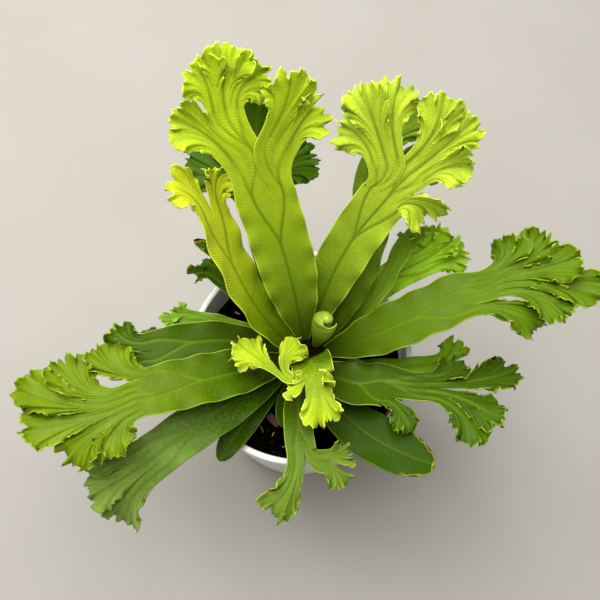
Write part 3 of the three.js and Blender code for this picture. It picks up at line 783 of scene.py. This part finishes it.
def make_scroll():
    """A young blade that is still rolled up lengthways, with a pale tip that curls over."""
    look = LOOKS["newest"]
    stations = walk(first_station("inner", SCROLL_HEADING, SCROLL_RISE), SCROLL, SCROLL_ROWS,
                    np.ones_like, np.ones_like)
    leaf = Leaf()
    outer = np.linspace(0, 1, SCROLL_COLUMNS + 1)  # 0 at the margin inside the roll and 1 outside
    turn = SCROLL_END - 2 * math.pi * SCROLL_TURNS * (1 - outer)
    flap = ease((outer - 0.84) / 0.10)
    last = None
    for row, station in enumerate(stations):
        t = row / SCROLL_ROWS
        up = t * (1 - FLAP_SHORTFALL * flap)
        radius = np.interp(up * (len(SCROLL_RADII) - 1), range(len(SCROLL_RADII)), SCROLL_RADII)
        spiral = radius * (SPIRAL_CORE + SPIRAL_SPREAD * outer)
        over = ease((up - 0.72) / 0.28)
        crumple = CRUMPLE * np.sin(CRUMPLE_WAVES * outer) * ease((t - 0.7) / 0.3) * (1 - t)
        last = leaf.add_row(
            last,
            offset(station, (up - t) * SCROLL.length + crumple - TIP_DROOP * over ** 2,
                   spiral * np.cos(turn) + TIP_LEAN * over * math.cos(SCROLL_FRONT),
                   spiral * np.sin(turn) + TIP_LEAN * over * math.sin(SCROLL_FRONT)),
            vein=(t * SCROLL.length - 3 * outer) / VEIN_SPACING, vein_show=0.5,
            edge=np.minimum(np.minimum(outer, 1 - outer) * SCROLL_WIDTH, (1 - t) * SCROLL.length),
            crest=ease((t - 0.84) / 0.10) * (1 - 0.7 * flap), root=1 - ease(t / 0.7),
            # Painted shade: the side of the roll towards SCROLL_SHADE is drawn darker.
            fold=-1.6 * np.cos(turn - SCROLL_SHADE))
    material = leaf_material("frond_unfurling_tissue", *LEAF_COLOURS["frond_unfurling"], look)
    hand_over(leaf.solid("frond_unfurling_leaf", material), "frond_unfurling")


# ---------- Pot ----------
def arc(centre, radius, first, last, steps):
    """Points of a circular arc, with angles in degrees."""
    turns = np.radians(np.linspace(first, last, steps + 1))
    return [(centre[0] + radius * math.cos(a), centre[1] + radius * math.sin(a)) for a in turns]


def lathe(profile, segments):
    """Points and faces of a closed profile on the axis, turned about +Z."""
    profile = np.array(profile)
    ring = profile[1:-1]
    turns = np.arange(segments) * 2 * math.pi / segments
    points = [np.stack([ring[:, 0] * math.cos(a), ring[:, 0] * math.sin(a), ring[:, 1]], axis=1)
              for a in turns]
    points = np.concatenate(points + [[[0, 0, profile[0, 1]]], [[0, 0, profile[-1, 1]]]])
    size = len(ring)
    here = np.arange(segments) * size
    there = np.roll(here, -1)
    quads = [np.stack([here + k, there + k, there + k + 1, here + k + 1], axis=1)
             for k in range(size - 1)]
    foot = segments * size
    low = np.stack([np.full(segments, foot), there, here], axis=1)
    high = np.stack([np.full(segments, foot + 1), here + size - 1, there + size - 1], axis=1)
    return points, np.concatenate(quads), np.concatenate([low, high])


def outer_radius(height):
    """The pot's outer radius at a height."""
    return BASE_RADIUS + (RIM_RADIUS - BASE_RADIUS) * height / POT_HEIGHT


def inner_radius(height):
    return outer_radius(height) - WALL


def ceramic_material():
    n = Nodes("white_ceramic")
    cloud = n.ramp(n.noise(30), 0.35, 0.7)
    colour = n.mix(n.math("MULTIPLY", cloud, 0.6), (0.86, 0.85, 0.81), (0.80, 0.785, 0.74))
    specks = n.ramp(n.noise(0.8, 1), 0.74, 0.8)
    colour = n.mix(n.math("MULTIPLY", specks, 0.25), colour, (0.45, 0.41, 0.35))
    n.bump(n.math("ADD", n.noise(9, 2), n.math("MULTIPLY", n.noise(1.2, 3), 0.15)), 0.25, 0.5)
    roughness = n.math("ADD", n.math("MULTIPLY", n.noise(20), 0.16), 0.26)
    return n.finish(colour, roughness, Coat_Weight=0.3, Coat_Roughness=0.2)


def make_pot():
    """A tapered pot with a rounded rim, a low foot ring and drain holes."""
    top = POT_HEIGHT - RIM_ROUND
    floor_round = (inner_radius(POT_FLOOR) - FLOOR_ROUND, POT_FLOOR + FLOOR_ROUND)
    profile = [(0, FOOT_RING[0][1])] + [(BASE_RADIUS - inward, up) for inward, up in FOOT_RING]
    profile += arc((BASE_RADIUS - BASE_ROUND, BASE_ROUND), BASE_ROUND, -90, 0, 8)
    profile += [(outer_radius(z), z) for z in np.linspace(BASE_ROUND + 3, top - 1, WALL_ROWS)]
    profile += arc((outer_radius(top) - RIM_ROUND, top), RIM_ROUND, 0, 90, 8)
    profile += arc((inner_radius(top) + RIM_ROUND, top), RIM_ROUND, 90, 180, 8)
    profile += [(inner_radius(z), z) for z in np.linspace(top - 2, POT_FLOOR + 4, WALL_ROWS)]
    profile += arc(floor_round, FLOOR_ROUND, 0, -90, 6) + [(0, POT_FLOOR)]
    points, quads, triangles = lathe(profile, POT_SEGMENTS)
    pot = make_object("pot_body", points, [quads, triangles], materials=[ceramic_material()])
    low, high = -1, POT_FLOOR + 1  # a bore reaches past both faces of the floor
    bore, sides, ends = lathe([(0, low), (DRAIN_RADIUS, low), (DRAIN_RADIUS, high), (0, high)],
                              DRAIN_SEGMENTS)
    for hole in range(DRAIN_COUNT):
        turn = 2 * math.pi * hole / DRAIN_COUNT
        place = DRAIN_CIRCLE * np.array([math.cos(turn), math.sin(turn), 0])
        cutter = make_object(f"cutter_{hole}", bore + place, [sides, ends])
        cut = pot.modifiers.new("drain", "BOOLEAN")
        cut.operation, cut.object, cut.solver = "DIFFERENCE", cutter, "EXACT"
        evaluated = pot.evaluated_get(bpy.context.evaluated_depsgraph_get())
        pot.data = bpy.data.meshes.new_from_object(evaluated)
        pot.modifiers.clear()
        bpy.data.objects.remove(cutter)
    hand_over(pot, "pot")


# ---------- Potting mix, bark and crown ----------
def ball():
    """Points and triangles of a small round-cornered lump of radius 1."""
    g = (1 + 5 ** 0.5) / 2
    corners = [(-1, g, 0), (1, g, 0), (-1, -g, 0), (1, -g, 0), (0, -1, g), (0, 1, g),
               (0, -1, -g), (0, 1, -g), (g, 0, -1), (g, 0, 1), (-g, 0, -1), (-g, 0, 1)]
    faces = [(0, 11, 5), (0, 5, 1), (0, 1, 7), (0, 7, 10), (0, 10, 11), (1, 5, 9), (5, 11, 4),
             (11, 10, 2), (10, 7, 6), (7, 1, 8), (3, 9, 4), (3, 4, 2), (3, 2, 6), (3, 6, 8),
             (3, 8, 9), (4, 9, 5), (2, 4, 11), (6, 2, 10), (8, 6, 7), (9, 8, 1)]
    points = [np.array(c) / np.linalg.norm(c) for c in corners]
    middles = {}

    def middle(a, b):
        key = (min(a, b), max(a, b))
        if key not in middles:
            spot = points[a] + points[b]
            points.append(spot / np.linalg.norm(spot))
            middles[key] = len(points) - 1
        return middles[key]

    split = []
    for a, b, c in faces:
        ab, bc, ca = middle(a, b), middle(b, c), middle(c, a)
        split += [(a, ab, ca), (b, bc, ab), (c, ca, bc), (ab, bc, ca)]
    return np.array(points), np.array(split)


BALL_POINTS, BALL_FACES = ball()


def lump(rng, size, roughness=0.2):
    """An irregular lump of that size in each direction, turned at random."""
    points = BALL_POINTS * (1 + rng.uniform(-roughness, roughness, (len(BALL_POINTS), 1)))
    points = points * np.array(size) / 2
    turn = rng.uniform(0, 2 * math.pi)
    tilt = rng.uniform(-0.4, 0.4)
    points = np.array([spin(p, UP, turn) for p in points])
    return np.array([spin(p, np.array([1.0, 0, 0]), tilt) for p in points])


def mix_height(radius):
    """The height of the mound at a distance from the pot's axis."""
    outward = radius / (inner_radius(MIX_EDGE) - FIT_GAP)
    return MIX_CENTRE - (MIX_CENTRE - MIX_EDGE) * outward ** 2


def mix_materials():
    n = Nodes("potting_mix_dark")
    brown = n.ramp(n.noise(2.2, 4), 0.5, 0.75)
    # Near-black: the mix's own dark colour, darkened further as painted shade.
    colour = n.mix(n.math("MULTIPLY", brown, 0.8), (0.002, 0.0015, 0.001), (0.018, 0.009, 0.004))
    n.bump(n.noise(1.2, 6), 0.8, 1.0)
    dark = n.finish(colour, 0.95, Specular_IOR_Level=0.0)
    n = Nodes("potting_mix_fibre")
    colour = n.mix(n.noise(1.0, 4), (0.16, 0.075, 0.030), (0.40, 0.27, 0.14))
    n.bump(n.noise(0.8, 5), 0.5, 0.9)
    return [dark, n.finish(colour, 0.85)]


def make_potting_mix():
    """A crumbly mound that fills the pot, with loose crumbs and bits of fibre on it."""
    rng = np.random.default_rng(MIX_SEED)
    floor = POT_FLOOR + FIT_GAP
    widest = inner_radius(MIX_EDGE) - FIT_GAP
    profile = [(0, floor), (inner_radius(floor) - 3.2, floor)]
    profile += [(inner_radius(z) - FIT_GAP, z) for z in np.linspace(floor + 4, MIX_EDGE, 12)]
    profile += [(r, mix_height(r)) for r in np.linspace(widest - 0.6, 0, MIX_ROWS)]
    points, quads, triangles = lathe(profile, MIX_SEGMENTS)
    radius = np.hypot(points[:, 0], points[:, 1])
    top = (points[:, 2] > MIX_EDGE - 1) & (radius < widest - 0.3)
    x, y = points[:, 0], points[:, 1]
    lumps = 0.7 * np.sin(x / 5 + 1) * np.cos(y / 6)
    for size in LUMP_SIZES:
        a, b, c, d = rng.uniform(0, 2 * math.pi, 4)
        lumps += 0.09 * size * np.sin(x / size + 1.7 * np.sin(y / size + a) + b) * np.sin(
            y / size * 1.2 + 1.4 * np.sin(x / size + c) + d)
    points[:, 2] += np.where(top, lumps, 0)
    all_points, all_triangles = [points], [triangles]
    start = len(points)
    # Which of the two materials each face has: 0 for dark crumbs and 1 for fibre.
    kinds = [0] * (len(quads) + len(triangles))
    for crumb in range(CRUMB_COUNT):
        distance = widest * 0.97 * math.sqrt(rng.uniform(0.05, 1))
        turn = rng.uniform(0, 2 * math.pi)
        fibre = crumb % FIBRE_EVERY == 0
        size = rng.uniform(0.9, 3.2, 3) * (1, 1, 0.7)
        if fibre:
            size = np.array([rng.uniform(2.5, 6), rng.uniform(0.6, 1.4), 0.6])
        place = np.array([distance * math.cos(turn), distance * math.sin(turn),
                          mix_height(distance) + 0.5])
        all_points.append(lump(rng, size) + place)
        all_triangles.append(BALL_FACES + start)
        start += len(BALL_POINTS)
        kinds += [1 if fibre else 0] * len(BALL_FACES)
    mix = make_object("potting_mix_mound", np.concatenate(all_points),
                      [quads, np.concatenate(all_triangles)], materials=mix_materials(),
                      face_materials=kinds)
    hand_over(mix, "potting_mix")


def bark_material():
    n = Nodes("bark_layers")
    grain = n.noise(1.2, 6, (1.0, 1.0, 5.0))
    colour = n.mix(n.ramp(grain, 0.3, 0.7), (0.050, 0.018, 0.008), (0.20, 0.095, 0.042))
    n.bump(grain, 0.6, 1.0)
    return n.finish(colour, 0.85)


def make_bark():
    """Flat, broken-edged chips of bark in the places of the CAD chips."""
    material = bark_material()
    names = sorted(name for name in frame["nodes"] if name.startswith("bark_chip"))
    for order, name in enumerate(names):
        rng = np.random.default_rng(BARK_SEED + order)
        corners = np.array([v.co for v in frame["nodes"][name].data.vertices]) / MM
        centre = corners.mean(axis=0)
        spread = corners - centre
        # The chip's own directions, from its thinnest to its longest.
        directions = np.linalg.eigh(spread.T @ spread)[1]
        size = np.ptp(spread @ directions, axis=0) / 2
        grid = np.linspace(-1, 1, CHIP_STEPS + 1)
        u, v = np.meshgrid(grid, grid, indexing="ij")
        jag = 1 - 0.12 * rng.random(u.shape) * (np.maximum(np.abs(u), np.abs(v)) > 0.9)
        u, v = u * jag, v * jag * (1 - 0.25 * u ** 2)
        arch = 0.25 * size[0] * (1 - v ** 2)
        layers = []
        for level in (1, -1):
            rough = rng.uniform(-0.16, 0.16, u.shape) + 0.12 * np.sin(9 * v + rng.uniform(0, 6))
            w = level * size[0] * (0.55 + rough) * (1 - 0.5 * np.maximum(np.abs(u), np.abs(v)) ** 6)
            flat = np.stack([(w + arch).ravel(), (v * size[1]).ravel(), (u * size[2]).ravel()], axis=1)
            layers.append(centre + flat @ directions.T)
        number = np.arange(u.size).reshape(u.shape)
        quads = np.stack([number[:-1, :-1], number[1:, :-1], number[1:, 1:], number[:-1, 1:]],
                         axis=-1).reshape(-1, 4)
        rim = np.concatenate([number[:-1, 0], number[-1, :-1], number[:0:-1, -1], number[0, :0:-1]])
        after = np.roll(rim, -1)
        under = number.size
        band = np.stack([rim, after, after + under, rim + under], axis=1)
        if np.linalg.det(directions) < 0:
            quads, band = quads[:, ::-1], band[:, ::-1]
        faces = np.concatenate([quads[:, ::-1], quads + under, band])
        chip = make_object(name + "_flake", np.concatenate(layers), [faces], materials=[material])
        hand_over(chip, name)


def crown_material():
    n = Nodes("crown_scales")
    grain = n.noise(0.7, 5, (1.0, 1.0, 0.3))
    colour = n.mix(n.ramp(grain, 0.35, 0.7), (0.006, 0.003, 0.002), (0.034, 0.013, 0.006))
    n.bump(grain, 0.4, 0.9)
    return n.finish(colour, 0.9, Specular_IOR_Level=0.1)


def make_crown():
    """The rootstock: a dome covered with narrow papery scales."""
    rng = np.random.default_rng(CROWN_SEED)
    foot = MIX_CENTRE - 12
    shoulder = MIX_CENTRE + 1
    rise = CROWN_TOP - shoulder
    profile = [(0, foot), (CROWN_RADIUS - 2, foot), (CROWN_RADIUS, foot + 3)]
    profile += [(CROWN_RADIUS * math.cos(a), shoulder + rise * math.sin(a))
                for a in np.linspace(0, math.pi / 2, 20)[:-1]] + [(0, CROWN_TOP)]
    points, quads, triangles = lathe(profile, 72)
    points[:, :2] *= 1 - 0.02 * rng.random((len(points), 1))
    all_points, all_quads = [points], [quads]
    start = len(points)
    for scale in range(SCALE_COUNT):
        turn = scale * math.pi * (3 - math.sqrt(5))
        level = math.asin((scale + 0.5) / SCALE_COUNT)
        out = np.array([math.cos(turn), math.sin(turn), 0])
        normal = out * math.cos(level) + UP * math.sin(level)
        upward = -out * math.sin(level) + UP * math.cos(level)
        across = np.cross(upward, normal)
        root = out * CROWN_RADIUS * math.cos(level) + UP * (shoulder + rise * math.sin(level) - 0.6)
        length, width = rng.uniform(4.5, 7.5), rng.uniform(0.9, 1.5)
        lift = rng.uniform(0.25, 0.6)
        strip = []
        for row in range(SCALE_ROWS + 1):
            t = row / SCALE_ROWS
            half = width * (1 - t) ** 0.7 + 0.05
            centre = root + upward * t * length * 0.9 + normal * lift * length * t ** 1.5
            for side, thick in ((-1, 0.12), (1, 0.12), (1, -0.12), (-1, -0.12)):
                strip.append(centre + across * side * half + normal * (thick - 0.15 * (side * half) ** 2))
        strip = np.array(strip)
        base = np.arange(SCALE_ROWS) * 4
        sides = [np.stack([base + k, base + (k + 1) % 4, base + 4 + (k + 1) % 4, base + 4 + k], axis=1)
                 for k in range(4)]
        caps = np.array([[3, 2, 1, 0], list(SCALE_ROWS * 4 + np.arange(4))])
        all_points.append(strip)
        all_quads.append(np.concatenate(sides + [caps]) + start)
        start += len(strip)
    points = np.concatenate(all_points) + np.array([CROWN_X, 0, 0])
    crown = make_object("crown_scaly", points, [np.concatenate(all_quads), triangles],
                        materials=[crown_material()])
    hand_over(crown, "crown")


# ---------- Camera, light and floor, in metres ----------
CAMERA_PLACE, CAMERA_TILT = (0.0, -0.1350, 0.5574), math.radians(20.7)
LENS, SENSOR = 48, 36
LIGHT_AIM = Vector((0, 0, 0.12))
LIGHTS = {"overhead": ((-0.15, 0.30, 1.3), 1.3, 24), "rear_window": ((-0.9, 0.9, 1.0), 0.8, 9)}
SKY_STRENGTH = 0.38
FLOOR_REACH = 3.0


def make_camera():
    camera = bpy.data.objects.new("camera", bpy.data.cameras.new("camera"))
    camera.data.lens = LENS
    camera.data.sensor_width = SENSOR
    camera.location = CAMERA_PLACE
    camera.rotation_euler = (CAMERA_TILT, 0, 0)
    bpy.context.scene.collection.objects.link(camera)
    bpy.context.scene.camera = camera


def add_light(name, place, size, power):
    """A square soft light that faces the plant."""
    light = bpy.data.objects.new(name, bpy.data.lights.new(name, "AREA"))
    light.data.size = size
    light.data.energy = power
    light.location = place
    light.rotation_euler = (LIGHT_AIM - Vector(place)).to_track_quat("-Z", "Y").to_euler()
    bpy.context.scene.collection.objects.link(light)


def make_studio():
    """A plain pale floor, an even sky and two soft lights."""
    n = Nodes("pale_floor")
    cloud = n.ramp(n.noise(120), 0.3, 0.7)
    floor_material = n.finish(n.mix(cloud, (0.40, 0.375, 0.33), (0.42, 0.395, 0.35)), 0.8)
    corners = [(-1, -1, 0), (1, -1, 0), (1, 1, 0), (-1, 1, 0)]
    floor = make_object("floor", np.array(corners) * FLOOR_REACH / MM, [np.array([[0, 1, 2, 3]])],
                        materials=[floor_material])
    world = bpy.data.worlds.new("studio")
    world.use_nodes = True
    background = world.node_tree.nodes["Background"]
    background.inputs["Color"].default_value = (1.0, 1.0, 1.0, 1.0)
    background.inputs["Strength"].default_value = SKY_STRENGTH
    bpy.context.scene.world = world
    for name, light in LIGHTS.items():
        add_light(name, *light)
    bpy.context.scene.view_settings.view_transform = "Standard"


make_camera()
make_studio()
make_pot()
make_potting_mix()
make_crown()
make_bark()
make_scroll()
for order, (name, frond) in enumerate(FRONDS.items()):
    make_frond(order, name, frond)
